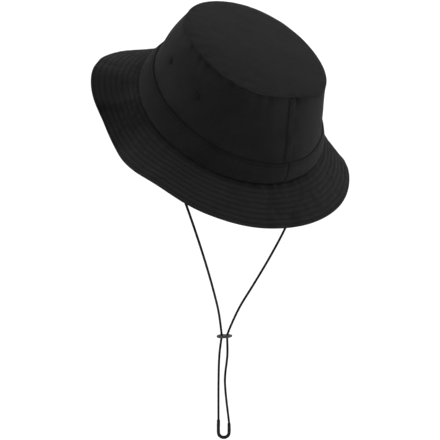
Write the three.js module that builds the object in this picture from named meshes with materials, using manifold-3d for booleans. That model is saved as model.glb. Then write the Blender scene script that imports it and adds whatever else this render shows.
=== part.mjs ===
// Soft bucket hat with a chin cord, built piece by piece. Millimetres, +Z up.
// The origin is the middle of the head opening. The hat is tipped back on the
// head that holds it, so its own frame (X to the wearer's left, Y to the back
// of the head, Z up the crown) sits in one turned group. The cord hangs plumb.
import * as THREE from 'three';
import { mergeVertices } from 'three/addons/utils/BufferGeometryUtils.js';
import Module from 'manifold-3d';

// ---- driving dimensions ----
const TIP_BACK = 32.4;                     // degrees, back of the head opening lowered
const GAP = 0.3;                           // between pieces that touch

const OPENING = { across: 87.7, along: 98, up: 0, back: 0 };
const BAND_TOP = { across: 78.4, along: 93.9, up: 21.7, back: 1.1 };
const CROWN_TOP = { across: 65, along: 71.8, up: 74.5, back: 3.4 };
const CROWN_LEAN = 7;                      // top rim higher on the left, lower on the right
// How far the soft crown eases outwards at its top and halfway up, round the hat
// from the back (0) by the wearer's left (90) to the right (270).
const CROWN_EASE = [
  [0, -7.3, 0], [45, 1.1, 0], [90, 2.1, 0], [135, 3.6, 2.4],
  [180, 1.9, 0], [225, 3.6, 2.4], [270, 2.1, 0], [315, 1.1, 0],
];
const EASE_POWER = 1.2;                    // keeps the lower crown close to its oval
const WALL_LOW = 0.6;                      // lower edge of the crown wall and the band
const SIDE_PLY = 1.2;                      // crown side cloth
const BAND_PLY = 1.2;                      // hat band cloth
const BAND_BULGE = 2.2;                    // how far the band stands out halfway up
const TOP_PLY = 1.4;                       // top panel cloth
const TOP_DOME = 3.5;                      // rise of the top panel's middle
const TOP_OVERHANG = 0.6;                  // top panel beyond the crown wall
const TOP_FLAT_RADIUS = 14;                // flat patch in the middle of the top panel
const SEAM_GAP_ANGLE = 0.35;               // degrees left open at each panel seam
const WALL_COLUMNS = 48;                   // facets round the crown
const WALL_BREAKS = [39, 57];              // heights where the crown wall's facets change slope
const BRIM_COLUMNS = 72;

// Brim: slope below the opening plane and width, round the hat from the back
// (0) by the wearer's left (90) and the front (180) to the right (270).
const BRIM_STATIONS = [
  [0, 17, 44], [20, 17, 44], [40, 14, 44], [60, 10, 43.5], [75, 26, 42.3], [90, 45, 41.5],
  [105, 51, 43.2], [115, 45, 45.4], [125, 13, 45.5], [135, 13, 43.8], [145, 22, 44],
  [160, 34, 44], [180, 45, 44], [205, 46, 44], [230, 47, 44], [260, 50, 44], [285, 48, 44],
  [300, 35, 44], [320, 26, 44], [340, 19, 44],
];
const BRIM_PLY = 0.9;                      // upper and under brim cloth
const INTERLINING_PLY = 0.6;
const BRIM_ROWS = [0, 0.5, 0.9, 1];        // shares of the brim's width
const BRIM_START = 1.2;                    // brim begins this far outside the opening
const BRIM_DROP = 0.2;                     // brim top face below the opening plane

const SWEATBAND_HEIGHT = 28;
const SWEATBAND_PLY = 1.0;
const TAPE_HEIGHT = 9;                     // bias tape that covers the top seam inside
const TAPE_PLY = 0.8;
const STRIP_WIDTH = 9;                     // lapped seams at the back and front middle
const STRIP_PLY = 0.8;
const LABEL = { width: 32, height: 16, ply: 0.6 };

const EYELET_UP = 46.7;                    // eyelet height on the crown side
const EYELET_SPREAD = 16.7;                // degrees either side of the ear
const EYELET_OUTER = 3.4;
const EYELET_HOLE = 1.5;
const EYELET_PLY = 1.8;

const CORD_RADIUS = 1.05;
const TAB = { angle: 86.7, width: 12, low: -0.5, high: 10, ply: 1.6 };
const LEAD = 4;                            // straight run of each strand out of its tab
const BOW_POINT = { across: 82.9, back: 64.4, up: -75.6 };
const GATHER_POINT = { aside: 2.4, up: -207.5 };
const CORD_TURN = -34;                     // degrees the slide and the end tube are turned about plumb
const LOCK = { back: -10.9, up: -236.5, radius: 8, thickness: 1.8, hole: 1.5, spread: 2.8 };
const TUBE = { middle: 0.55, bend: 5.55, radius: 1.75, leftTop: -330.6, rightTop: -334.8, bendUp: -345.4 };
const SWAY = [{ left: 5.1, right: -3.1, drop: 20 }, { left: 6, right: -0.6, drop: 49.5 }];
const STEPS = { upper: 26, lower: 12, tube: 14 };

// ---- small helpers ----
const wasm = await Module();
wasm.setup();
const radians = THREE.MathUtils.degToRad;
const mix = (a, b, t) => a + (b - a) * t;

function cloth(color, roughness = 0.92) {
  return new THREE.MeshStandardMaterial({ color, roughness, metalness: 0 });
}

const CHARCOAL = cloth(0x2b2b2d);
const CHARCOAL_SIDE = cloth(0x29292b);
const LINING = cloth(0x242426);
const TAPE = cloth(0x202022);
const THREAD = cloth(0x1f1f21, 0.8);
const CORD = cloth(0x17171a, 0.75);
const LEATHER = cloth(0x3a3a3c, 0.7);
const RUBBER = cloth(0x151517, 0.45);
const LABEL_CLOTH = cloth(0xc9c7c1, 0.85);

function named(name, geometry, material) {
  const mesh = new THREE.Mesh(geometry, material);
  mesh.name = name;
  return mesh;
}

// A closed shell over a grid of outer and inner points. round: the grid closes
// on itself along its first direction. pole: its last row is one point.
function shell(outer, inner, round) {
  const columns = outer.length;
  const rows = outer[0].length;
  const positions = [];
  const index = [];
  for (const side of [outer, inner]) {
    for (const column of side) {
      for (const point of column) positions.push(point.x, point.y, point.z);
    }
  }
  const at = (side, i, j) => side * columns * rows + (i % columns) * rows + j;
  const quad = (a, b, c, d) => index.push(a, b, c, a, c, d);
  const lastColumn = round ? columns : columns - 1;
  for (let i = 0; i < lastColumn; i += 1) {
    for (let j = 0; j < rows - 1; j += 1) {
      quad(at(0, i, j), at(0, i + 1, j), at(0, i + 1, j + 1), at(0, i, j + 1));
      quad(at(1, i, j), at(1, i, j + 1), at(1, i + 1, j + 1), at(1, i + 1, j));
    }
    quad(at(0, i, 0), at(1, i, 0), at(1, i + 1, 0), at(0, i + 1, 0));
    quad(at(0, i, rows - 1), at(0, i + 1, rows - 1), at(1, i + 1, rows - 1), at(1, i, rows - 1));
  }
  if (!round) {
    const end = columns - 1;
    for (let j = 0; j < rows - 1; j += 1) {
      quad(at(0, 0, j), at(0, 0, j + 1), at(1, 0, j + 1), at(1, 0, j));
      quad(at(0, end, j), at(1, end, j), at(1, end, j + 1), at(0, end, j + 1));
    }
  }
  const geometry = new THREE.BufferGeometry();
  geometry.setAttribute('position', new THREE.Float32BufferAttribute(positions, 3));
  geometry.setIndex(index);
  return geometry;
}

function toManifold(geometry) {
  const bare = geometry.clone();
  bare.deleteAttribute('normal');
  bare.deleteAttribute('uv');
  const merged = mergeVertices(bare, 1e-4);
  return new wasm.Manifold(new wasm.Mesh({
    numProp: 3,
    vertProperties: new Float32Array(merged.attributes.position.array),
    triVerts: new Uint32Array(merged.index.array),
  }));
}

function toGeometry(solid) {
  const mesh = solid.getMesh();
  const geometry = new THREE.BufferGeometry();
  geometry.setAttribute('position', new THREE.Float32BufferAttribute(mesh.vertProperties, 3));
  geometry.setIndex(Array.from(mesh.triVerts));
  return geometry;
}

// ---- the hat's outline ----
// angle 0 is the back of the hat, 90 the wearer's left, in degrees.
function ring(oval, angle, outward = 0) {
  const turn = radians(angle);
  const x = oval.across * Math.sin(turn);
  const y = oval.along * Math.cos(turn);
  const normal = new THREE.Vector2(x / oval.across ** 2, y / oval.along ** 2).normalize();
  return new THREE.Vector3(x + outward * normal.x, y + outward * normal.y + oval.back, oval.up);
}

function ovalBetween(low, high, t) {
  return {
    across: mix(low.across, high.across, t),
    along: mix(low.along, high.along, t),
    up: mix(low.up, high.up, t),
    back: mix(low.back, high.back, t),
  };
}

// The crown wall's oval at a height above the opening plane.
function wallOval(up) {
  if (up < BAND_TOP.up) return ovalBetween(OPENING, BAND_TOP, up / BAND_TOP.up);
  return ovalBetween(BAND_TOP, CROWN_TOP, (up - BAND_TOP.up) / (CROWN_TOP.up - BAND_TOP.up));
}

function wallPoint(angle, up, outward) {
  const share = Math.max(0, (up - BAND_TOP.up) / (CROWN_TOP.up - BAND_TOP.up));
  const ease = stationValue(CROWN_EASE, angle, 1) * share ** EASE_POWER
    + stationValue(CROWN_EASE, angle, 2) * Math.sin(Math.PI * share);
  const point = ring(wallOval(up), angle, outward + ease);
  point.z += leanAt(point.x) * share;
  return point;
}

// How much higher the leaning top is at a distance across.
function leanAt(across) {
  return (CROWN_LEAN * across) / CROWN_TOP.across;
}

// A soft line through a table's rows: column value at an angle round the hat.
function stationValue(table, angle, column) {
  const count = table.length;
  const turn = ((angle % 360) + 360) % 360;
  let k = 0;
  while (k < count - 1 && table[k + 1][0] <= turn) k += 1;
  const row = (n) => table[((n % count) + count) % count];
  const place = (n) => row(n)[0] + 360 * Math.floor(n / count);
  const t = (turn - place(k)) / (place(k + 1) - place(k));
  const rise = (n) => (row(n + 1)[column] - row(n - 1)[column]) / (place(n + 1) - place(n - 1));
  const width = place(k + 1) - place(k);
  const [p0, p1] = [row(k)[column], row(k + 1)[column]];
  const [m0, m1] = [rise(k) * width, rise(k + 1) * width];
  return p0 * (2 * t ** 3 - 3 * t ** 2 + 1) + m0 * (t ** 3 - 2 * t ** 2 + t)
    + p1 * (3 * t ** 2 - 2 * t ** 3) + m1 * (t ** 3 - t ** 2);
}

// A skin that follows the crown wall from one height to another.
function wallSkin(angles, heights, outside, ply, round) {
  const outer = angles.map((a) => heights.map((h) => wallPoint(a, h, outside(h))));
  const inner = angles.map((a) => heights.map((h) => wallPoint(a, h, outside(h) - ply)));
  return shell(outer, inner, round);
}

// Angles run backwards so that the outer faces look outwards.
function spread(from, to, count) {
  return Array.from({ length: count + 1 }, (_, i) => mix(to, from, i / count));
}

// Half the hat, on the same columns as the full circle, short of its two seams.
function halfCircle(from, to) {
  const inside = spread(from, to, WALL_COLUMNS / 2).slice(1, -1);
  return [to - SEAM_GAP_ANGLE, ...inside, from + SEAM_GAP_ANGLE];
}

function fullCircle(count) {
  return Array.from({ length: count }, (_, i) => 360 - (360 * i) / count);
}

function steps(from, to, count) {
  return Array.from({ length: count + 1 }, (_, i) => mix(from, to, i / count));
}

// ---- crown ----
const WALL_OUTSIDE = 0;
const EYELET_ANGLES = {
  eyelet_left_back: 90 - EYELET_SPREAD,
  eyelet_left_front: 90 + EYELET_SPREAD,
  eyelet_right_front: 270 - EYELET_SPREAD,
  eyelet_right_back: 270 + EYELET_SPREAD,
};

function eyeletFrame(angle) {
  const centre = wallPoint(angle, EYELET_UP, 0);
  const above = wallPoint(angle, EYELET_UP + 1, 0).sub(centre).normalize();
  const along = wallPoint(angle + 1, EYELET_UP, 0).sub(wallPoint(angle - 1, EYELET_UP, 0)).normalize();
  const outward = new THREE.Vector3().crossVectors(above, along).normalize();
  if (outward.dot(new THREE.Vector3(centre.x, centre.y, 0)) < 0) outward.negate();
  return { centre, outward };
}

function standAt(geometry, centre, axis) {
  const turn = new THREE.Quaternion().setFromUnitVectors(new THREE.Vector3(0, 1, 0), axis);
  return geometry.applyQuaternion(turn).translate(centre.x, centre.y, centre.z);
}

function eyeletRing(angle) {
  const { centre, outward } = eyeletFrame(angle);
  const half = EYELET_PLY / 2;
  const profile = [[EYELET_HOLE, -half], [EYELET_OUTER, -half], [EYELET_OUTER, half], [EYELET_HOLE, half],
    [EYELET_HOLE, -half]].map(([r, h]) => new THREE.Vector2(r, h));
  const middle = centre.clone().addScaledVector(outward, -SIDE_PLY / 2);
  return standAt(new THREE.LatheGeometry(profile, 14), middle, outward);
}

function crownSide(from, to) {
  const angles = halfCircle(from, to);
  const heights = [WALL_LOW, BAND_TOP.up, ...WALL_BREAKS, CROWN_TOP.up];
  let panel = toManifold(wallSkin(angles, heights, () => WALL_OUTSIDE, SIDE_PLY, false));
  for (const angle of Object.values(EYELET_ANGLES)) {
    if (angle < from || angle > to) continue;
    const { centre, outward } = eyeletFrame(angle);
    const punch = new THREE.CylinderGeometry(EYELET_OUTER + GAP, EYELET_OUTER + GAP, 12, 16);
    panel = panel.subtract(toManifold(standAt(punch, centre, outward)));
  }
  return toGeometry(panel);
}

// The top panel: an oval disc, flat in the middle, whose rim turns down a little.
function topPanel() {
  const angles = fullCircle(WALL_COLUMNS);
  const shares = [1, 0.85, 0.55];
  const face = (angle, share, lower) => {
    const rim = ring(CROWN_TOP, angle, TOP_OVERHANG + stationValue(CROWN_EASE, angle, 1));
    const centre = new THREE.Vector3(0, CROWN_TOP.back, 0);
    const point = centre.clone().lerp(new THREE.Vector3(rim.x, rim.y, 0), share);
    point.z = CROWN_TOP.up + GAP + TOP_PLY + TOP_DOME * (1 - share ** 2) + leanAt(point.x) - lower;
    return point;
  };
  const flat = (angle, lower) => {
    const point = new THREE.Vector3(
      TOP_FLAT_RADIUS * Math.sin(radians(angle)),
      TOP_FLAT_RADIUS * Math.cos(radians(angle)) + CROWN_TOP.back,
      CROWN_TOP.up + GAP + TOP_PLY + TOP_DOME - lower,
    );
    point.z += leanAt(point.x);
    return point;
  };
  const side = (lower) => angles.map((a) => [
    ...shares.map((s) => face(a, s, lower)), flat(a, lower),
  ]);
  return cappedDisc(side(0), side(TOP_PLY));
}

// A shell whose inner end is closed by flat fans instead of a hole.
function cappedDisc(outer, inner) {
  const columns = outer.length;
  const rows = outer[0].length;
  const positions = [];
  const index = [];
  for (const side of [outer, inner]) {
    for (const column of side) {
      for (const point of column) positions.push(point.x, point.y, point.z);
    }
  }
  const middles = [outer, inner].map((side) => {
    const sum = side.reduce((total, column) => total.add(column[rows - 1]), new THREE.Vector3());
    return sum.divideScalar(columns);
  });
  for (const point of middles) positions.push(point.x, point.y, point.z);
  const at = (side, i, j) => side * columns * rows + (i % columns) * rows + j;
  const hub = (side) => 2 * columns * rows + side;
  for (let i = 0; i < columns; i += 1) {
    for (let j = 0; j < rows - 1; j += 1) {
      index.push(at(0, i, j), at(0, i + 1, j), at(0, i + 1, j + 1));
      index.push(at(0, i, j), at(0, i + 1, j + 1), at(0, i, j + 1));
      index.push(at(1, i, j), at(1, i + 1, j + 1), at(1, i + 1, j));
      index.push(at(1, i, j), at(1, i, j + 1), at(1, i + 1, j + 1));
    }
    index.push(at(0, i, 0), at(1, i, 0), at(1, i + 1, 0));
    index.push(at(0, i, 0), at(1, i + 1, 0), at(0, i + 1, 0));
    index.push(at(0, i, rows - 1), at(0, i + 1, rows - 1), hub(0));
    index.push(at(1, i + 1, rows - 1), at(1, i, rows - 1), hub(1));
  }
  const geometry = new THREE.BufferGeometry();
  geometry.setAttribute('position', new THREE.Float32BufferAttribute(positions, 3));
  geometry.setIndex(index);
  return geometry;
}

function hatBand(from, to) {
  const angles = halfCircle(from, to);
  const heights = steps(WALL_LOW, BAND_TOP.up, 4);
  const bulge = (h) => GAP + BAND_PLY + BAND_BULGE * Math.sin((Math.PI * h) / BAND_TOP.up);
  return wallSkin(angles, heights, bulge, BAND_PLY, false);
}

function seamStrip(middle) {
  const half = (STRIP_WIDTH / 2 / CROWN_TOP.along) * (180 / Math.PI);
  const angles = spread(middle - half, middle + half, 3);
  const heights = [BAND_TOP.up + 2, ...WALL_BREAKS, CROWN_TOP.up - 1];
  return wallSkin(angles, heights, () => 2 * GAP + STRIP_PLY, STRIP_PLY, false);
}

function sweatband() {
  const outside = () => -SIDE_PLY - GAP;
  return wallSkin(fullCircle(WALL_COLUMNS), [TAB.low, BAND_TOP.up, SWEATBAND_HEIGHT], outside, SWEATBAND_PLY, true);
}

function topSeamTape() {
  const outside = () => -SIDE_PLY - GAP;
  const heights = [CROWN_TOP.up - TAPE_HEIGHT, CROWN_TOP.up - 1];
  return wallSkin(fullCircle(WALL_COLUMNS), heights, outside, TAPE_PLY, true);
}

function sizeLabel() {
  const half = (LABEL.width / 2 / OPENING.along) * (180 / Math.PI);
  const outside = () => -SIDE_PLY - 2 * GAP - SWEATBAND_PLY;
  return wallSkin(spread(-half, half, 4), steps(6, 6 + LABEL.height, 2), outside, LABEL.ply, false);
}

// ---- brim ----
// A point on the brim: out along the slope, then lower square to the slope.
function brimPoint(angle, out, lower) {
  const slope = radians(stationValue(BRIM_STATIONS, angle, 1));
  const start = ring(OPENING, angle, BRIM_START);
  const outward = ring(OPENING, angle, BRIM_START + 1).sub(start);
  const along = outward.clone().multiplyScalar(Math.cos(slope));
  along.z = -Math.sin(slope);
  const down = outward.clone().multiplyScalar(-Math.sin(slope));
  down.z = -Math.cos(slope);
  start.z -= BRIM_DROP;
  return start.addScaledVector(along, out).addScaledVector(down, lower);
}

// One ply of the brim; all plies share the same columns and rows.
function brimPly(shares, top, ply) {
  const angles = fullCircle(BRIM_COLUMNS);
  const outIn = shares.toReversed();
  const side = (lower) => angles.map((angle) => {
    const width = stationValue(BRIM_STATIONS, angle, 2);
    return outIn.map((share) => brimPoint(angle, share * width, lower));
  });
  return shell(side(top), side(top + ply), true);
}

// ---- chin cord ----
function sideOf(point, sign) {
  return new THREE.Vector3(sign * point.across, point.back, point.up);
}

function tipped(point) {
  return point.applyAxisAngle(new THREE.Vector3(1, 0, 0), -radians(TIP_BACK));
}

// The middle of the tab's lower edge, and points straight below it.
function tabEdge(sign, below) {
  const angle = sign > 0 ? TAB.angle : 360 - TAB.angle;
  const inward = SIDE_PLY + SWEATBAND_PLY + 2 * GAP + TAB.ply / 2;
  const point = wallPoint(angle, TAB.low, -inward);
  point.z -= below;
  return tipped(point);
}

// A point in the upright plane that holds the slide and the end tube.
function cordPlane(aside, up) {
  const turn = radians(CORD_TURN);
  return new THREE.Vector3(aside * Math.cos(turn), LOCK.back + aside * Math.sin(turn), up);
}

const lockAt = (sign) => cordPlane(sign * LOCK.spread, LOCK.up);

function upperStrand(sign) {
  const end = lockAt(sign);
  end.z += LOCK.thickness / 2 + GAP;
  const lead = tabEdge(sign, GAP + LEAD);
  const gather = cordPlane(sign * GATHER_POINT.aside, GATHER_POINT.up);
  const hang = new THREE.CubicBezierCurve3(lead, sideOf(BOW_POINT, sign), gather, end);
  return new THREE.CatmullRomCurve3([tabEdge(sign, GAP), ...hang.getSpacedPoints(8)]);
}

function lowerStrand(sign) {
  const top = lockAt(sign);
  top.z -= LOCK.thickness / 2 + GAP;
  const legTop = sign > 0 ? TUBE.leftTop : TUBE.rightTop;
  const knots = SWAY.map((knot) => cordPlane(sign > 0 ? knot.left : knot.right, LOCK.up - knot.drop));
  return new THREE.CatmullRomCurve3([top, ...knots, cordPlane(TUBE.middle + sign * TUBE.bend, legTop + GAP)]);
}

function tubeLine() {
  const left = TUBE.middle + TUBE.bend;
  const right = TUBE.middle - TUBE.bend;
  const quarter = TUBE.bend * Math.SQRT1_2;
  return new THREE.CatmullRomCurve3([
    cordPlane(left, TUBE.leftTop),
    cordPlane(left, TUBE.bendUp),
    cordPlane(TUBE.middle + quarter, TUBE.bendUp - quarter),
    cordPlane(TUBE.middle, TUBE.bendUp - TUBE.bend),
    cordPlane(TUBE.middle - quarter, TUBE.bendUp - quarter),
    cordPlane(right, TUBE.bendUp),
    cordPlane(right, TUBE.rightTop),
  ], false, 'centripetal');
}

function roundSection(radius, sides) {
  const corners = Array.from({ length: sides }, (_, i) => {
    const turn = (2 * Math.PI * i) / sides;
    return new THREE.Vector2(radius * Math.cos(turn), radius * Math.sin(turn));
  });
  return new THREE.Shape(corners);
}

function alongLine(curve, radius, count) {
  return new THREE.ExtrudeGeometry(roundSection(radius, 8), {
    extrudePath: curve,
    steps: count,
    curveSegments: 1,
    bevelEnabled: false,
  });
}

// A leather disc with one hole for each strand.
function lockDisc() {
  const disc = new THREE.CylinderGeometry(LOCK.radius, LOCK.radius, LOCK.thickness, 32);
  let solid = toManifold(standAt(disc, lockAt(0), new THREE.Vector3(0, 0, 1)));
  for (const sign of [1, -1]) {
    const drill = new THREE.CylinderGeometry(LOCK.hole, LOCK.hole, 4 * LOCK.thickness, 14);
    solid = solid.subtract(toManifold(standAt(drill, lockAt(sign), new THREE.Vector3(0, 0, 1))));
  }
  return toGeometry(solid);
}

// The tab sewn inside the opening that each strand's end is fixed to.
function cordTab(sign) {
  const middle = sign > 0 ? TAB.angle : 360 - TAB.angle;
  const half = (TAB.width / 2 / OPENING.along) * (180 / Math.PI);
  const outside = () => -SIDE_PLY - SWEATBAND_PLY - 2 * GAP;
  return wallSkin(spread(middle - half, middle + half, 2), [TAB.low, TAB.high], outside, TAB.ply, false);
}

// ---- assembly ----
const hat = new THREE.Group();
hat.rotation.x = -radians(TIP_BACK);
hat.add(named('crown_top_panel', topPanel(), CHARCOAL));
hat.add(named('crown_side_left', crownSide(0, 180), CHARCOAL_SIDE));
hat.add(named('crown_side_right', crownSide(180, 360), CHARCOAL_SIDE));
hat.add(named('hat_band_left', hatBand(0, 180), CHARCOAL));
hat.add(named('hat_band_right', hatBand(180, 360), CHARCOAL));
hat.add(named('seam_strip_back', seamStrip(0), CHARCOAL));
hat.add(named('seam_strip_front', seamStrip(180), CHARCOAL));
hat.add(named('sweatband', sweatband(), LINING));
hat.add(named('top_seam_tape', topSeamTape(), TAPE));
hat.add(named('size_label', sizeLabel(), LABEL_CLOTH));
hat.add(named('brim_upper', brimPly(BRIM_ROWS, 0, BRIM_PLY), CHARCOAL));
const underTop = BRIM_PLY + INTERLINING_PLY + 2 * GAP;
const interlining = brimPly(BRIM_ROWS.slice(0, -1), BRIM_PLY + GAP, INTERLINING_PLY);
hat.add(named('brim_interlining', interlining, LINING));
hat.add(named('brim_under', brimPly(BRIM_ROWS, underTop, BRIM_PLY), CHARCOAL));
for (const [name, angle] of Object.entries(EYELET_ANGLES)) {
  hat.add(named(name, eyeletRing(angle), THREAD));
}

const cord = new THREE.Group();
for (const [side, sign] of [['left', 1], ['right', -1]]) {
  hat.add(named(`cord_tab_${side}`, cordTab(sign), TAPE));
  cord.add(named(`cord_upper_${side}`, alongLine(upperStrand(sign), CORD_RADIUS, STEPS.upper), CORD));
  cord.add(named(`cord_lower_${side}`, alongLine(lowerStrand(sign), CORD_RADIUS, STEPS.lower), CORD));
}
cord.add(named('cord_lock', lockDisc(), LEATHER));
cord.add(named('cord_end_tube', alongLine(tubeLine(), TUBE.radius, STEPS.tube), RUBBER));

const bucketHat = new THREE.Group();
bucketHat.add(hat, cord);
export default bucketHat;
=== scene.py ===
"""Soft charcoal bucket hat with a hanging chin cord, in metres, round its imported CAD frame.

The hat's own frame (X to the wearer's left, Y to the back of the head, Z up the crown)
is tipped back by TIP_BACK. Angles round the hat run from the back (0) by the wearer's
left (90) and the front (180) to the right (270).
"""

import math

import bmesh
import bpy
import numpy as np
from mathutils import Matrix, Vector


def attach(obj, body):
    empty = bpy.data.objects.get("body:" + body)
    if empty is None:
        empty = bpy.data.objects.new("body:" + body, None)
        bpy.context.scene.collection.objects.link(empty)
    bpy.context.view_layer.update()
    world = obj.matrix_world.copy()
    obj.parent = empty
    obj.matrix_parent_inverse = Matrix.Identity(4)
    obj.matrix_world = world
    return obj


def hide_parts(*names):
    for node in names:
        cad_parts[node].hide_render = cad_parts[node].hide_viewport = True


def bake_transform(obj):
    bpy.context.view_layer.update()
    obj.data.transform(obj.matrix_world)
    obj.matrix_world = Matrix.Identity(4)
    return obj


MM = 0.001
SIDE_START = (0.31, 0.94, 0.12)  # any direction that no cord starts along

# ---- shape of the hat, as in the CAD part but for WALL_LOW, TOP_RISE and BRIM_TUCK ----
TIP_BACK = math.radians(32.4)
OPENING = dict(across=87.7 * MM, along=98 * MM, up=0.0, back=0.0)
BAND_TOP = dict(across=78.4 * MM, along=93.9 * MM, up=21.7 * MM, back=1.1 * MM)
CROWN_TOP = dict(across=65 * MM, along=71.8 * MM, up=74.5 * MM, back=3.4 * MM)
CROWN_LEAN = 7 * MM
# Angle, how far the crown's top is let out there, and how far its middle is, in mm.
CROWN_EASE = np.array([
    [0, -7.3, 0], [45, 1.1, 0], [90, 2.1, 0], [135, 3.6, 2.4],
    [180, 1.9, 0], [225, 3.6, 2.4], [270, 2.1, 0], [315, 1.1, 0],
])
EASE_POWER = 1.2
WALL_LOW = -0.3 * MM  # lower than in the CAD part, so that no light shows through the brim's seam
SIDE_PLY = 1.2 * MM
BAND_PLY = 1.2 * MM
BAND_BULGE = 2.2 * MM
TOP_PLY = 1.4 * MM
TOP_RISE = 5.2 * MM
GAP = 0.3 * MM
# Angle, the brim's slope in degrees and its width in mm.
BRIM_STATIONS = np.array([
    [0, 17, 44], [20, 17, 44], [40, 14, 44], [60, 10, 43.5], [75, 26, 42.3], [90, 45, 41.5],
    [105, 51, 43.2], [115, 45, 45.4], [125, 13, 45.5], [135, 13, 43.8], [145, 22, 44],
    [160, 34, 44], [180, 45, 44], [205, 46, 44], [230, 47, 44], [260, 50, 44], [285, 48, 44],
    [300, 35, 44], [320, 26, 44], [340, 19, 44],
], float)
BRIM_START = 1.2 * MM
BRIM_DROP = 0.2 * MM
BRIM_PLY = 0.9 * MM
BRIM_TUCK = 2.4 * MM  # how far the brim's cloth reaches in under the band
BRIM_THICK = 3.0 * MM
BRIM_ROLL = BRIM_THICK / 2 - 0.1 * MM
SWEATBAND_HEIGHT = 28 * MM
SWEATBAND_LOW = -0.5 * MM
SWEATBAND_PLY = 1.0 * MM
TAPE_LOW = CROWN_TOP["up"] - 9 * MM
TAPE_HIGH = CROWN_TOP["up"] - 1.0 * MM
TAPE_PLY = 0.8 * MM
LABEL_PLY = 0.6 * MM
LABEL = dict(width=32 * MM, height=16 * MM, low=6 * MM)
EYELETS = {
    "eyelet_left_back": 73.3, "eyelet_left_front": 106.7,
    "eyelet_right_front": 253.3, "eyelet_right_back": 286.7,
}
EYELET_UP = 46.7 * MM

# ---- chin cord, on the CAD part's lines but a little thicker ----
CORD_RADIUS = 1.2 * MM
TAB = dict(angle=86.7, width=12 * MM, low=-0.5 * MM, high=10 * MM, ply=1.6 * MM)
TAB_INWARD = 3.6 * MM
TAB_SWELL = 0.35 * MM
LEAD = 4 * MM
BOW_POINT = (82.9 * MM, 64.4 * MM, -75.6 * MM)
GATHER_POINT = dict(aside=2.4 * MM, up=-207.5 * MM)
CORD_KNOTS = 9
CORD_TURN = math.radians(-34)
LOCK = dict(back=-10.9 * MM, up=-236.5 * MM, radius=8 * MM, thick=1.8 * MM, spread=2.8 * MM)
TUBE = dict(middle=0.55 * MM, bend=5.55 * MM, radius=1.75 * MM,
            left=-330.6 * MM, right=-334.8 * MM, bend_up=-345.4 * MM)
SWAY = [dict(left=5.1 * MM, right=-3.1 * MM, drop=20 * MM),
        dict(left=6.0 * MM, right=-0.6 * MM, drop=49.5 * MM)]
TUBE_MOUTH = 3 * MM
HOLE_SIDES = 32
SLIDE_MIDDLE = 1.65  # the disc's thickness in its middle and at its rim, in thicknesses of the CAD disc
SLIDE_RIM = 1.3
SLIDE_BEND = 1.0 * MM
SLIDE_LEAN = math.radians(14)

# ---- points on each piece of cloth: round or across it, and along it ----
HALF_COLUMNS = 361
SIDE_STEPS = 128
BAND_STEPS = 40
TOP_GRID = (360, 72)
STRIP_GRID = (41, 150)
LABEL_GRID = (60, 32)
TAB_GRID = (30, 26)
LINING_COLUMNS = 300
SWEATBAND_STEPS = 40
TAPE_STEPS = 18
INTERLINING_GRID = (240, 30)
BRIM_COLUMNS = (560, 480)
BRIM_STEPS = (68, 52)

# ---- sewing ----
ROW_ANGLES = np.linspace(0, 360, 1441)
ROW_WIDTH = 0.7 * MM
BAND_ROW_INSET = 2.2 * MM
EDGE_ROLL = 0.55 * MM
BRIM_WIDTH = 44 * MM
BRIM_ROW_FIRST = 4.6 * MM
BRIM_ROW_STEP = 5.25 * MM
BRIM_ROWS = 7
EDGE_ROW_INSET = 3.0 * MM
STITCH_PITCH = 2.9 * MM
STITCH_LENGTH = 2.3 * MM
THREAD_RADIUS = 0.24 * MM
# How pale the cloth of each part is painted where it is flat, from dark (0) to pale (1). The brim's pale
# value is painted light, standing in for the brighter light that falls on the brim.
PART_TONE = dict(side=0.5, top=0.40, band=0.5, strip=0.5, brim=0.98)
# The fold at the left of the brim: its angle at the crown and at the brim's edge, and the angle where its
# painted shade ends. The painted highlight on its ridge follows the same angles.
BRIM_FOLD = (111, 119)
BRIM_FOLD_END = 97
TOP_EDGE_UP = CROWN_TOP["up"] + GAP + 0.1 * MM
TOP_OVERHANG = 0.35 * MM
TOP_ROW_INSET = 2.3 * MM
SIDE_END = 0.12
BAND_END = 0.06
STRIP_HALF = 4.6 * MM
STRIP_ROW = 3.6 * MM
STRIP_RISE = 0.5 * MM
SWEATBAND_ROW = 2.0 * MM
TAPE_ROW = 1.3 * MM
LABEL_INSET = 1.2 * MM
EYELET = dict(outer=3.2 * MM, hole=0.25 * MM, rise=0.7 * MM, sink=0.35 * MM, thread=0.3 * MM, threads=40)
EYELET_PUNCH = 2.5 * MM
TACK = dict(ups=(2.2 * MM, 7.6 * MM), half=4.4 * MM, zigzag=0.55 * MM, turns=45,
            pitch=1.1 * MM, length=1.0 * MM)

# ---- view, measured from the head opening's middle ----
CAMERA_PLACE = Vector((0.5878, 0.8758, 0.2035))
CAMERA_AIM = Vector((0.0224, 0.0150, -0.1021))
LENS = 91.5
FLOOR_UP = -0.62
FLOOR_HALF = 60
ROOM_LIGHT = 1.01
SUN = dict(toward=(-0.5, 0.55, 0.85), strength=0.85, angle=50)


# ---- numbers round the hat ----
def noise(points, size, seed):
    """Smooth value noise from -1 to 1 with bumps of that size, the same on every run."""
    scaled = np.asarray(points, float) / size + seed * 17.31
    cell = np.floor(scaled).astype(np.int64)
    part = scaled - cell
    part = part * part * (3 - 2 * part)
    total = np.zeros(scaled.shape[:-1])
    for corner in range(8):
        bits = np.array([corner & 1, corner >> 1 & 1, corner >> 2 & 1])
        c = cell + bits
        mixed = c[..., 0] * 374761393 + c[..., 1] * 668265263 + c[..., 2] * 1013904223 + seed * 974711
        mixed = ((mixed ^ (mixed >> 13)) & 0x7FFFFFFF) * 1274126177
        value = ((mixed ^ (mixed >> 16)) & 0xFFFF) / 32767.5 - 1
        weight = np.prod(np.where(bits, part, 1 - part), axis=-1)
        total += value * weight
    return total


def hump(x, middle, width):
    """A smooth bump of height 1 round the middle."""
    return np.exp(-(((x - middle) / width) ** 2))


def fade(distance, length):
    """Falls from 1 towards 0 over that length."""
    return np.exp(-distance / length)


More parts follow.
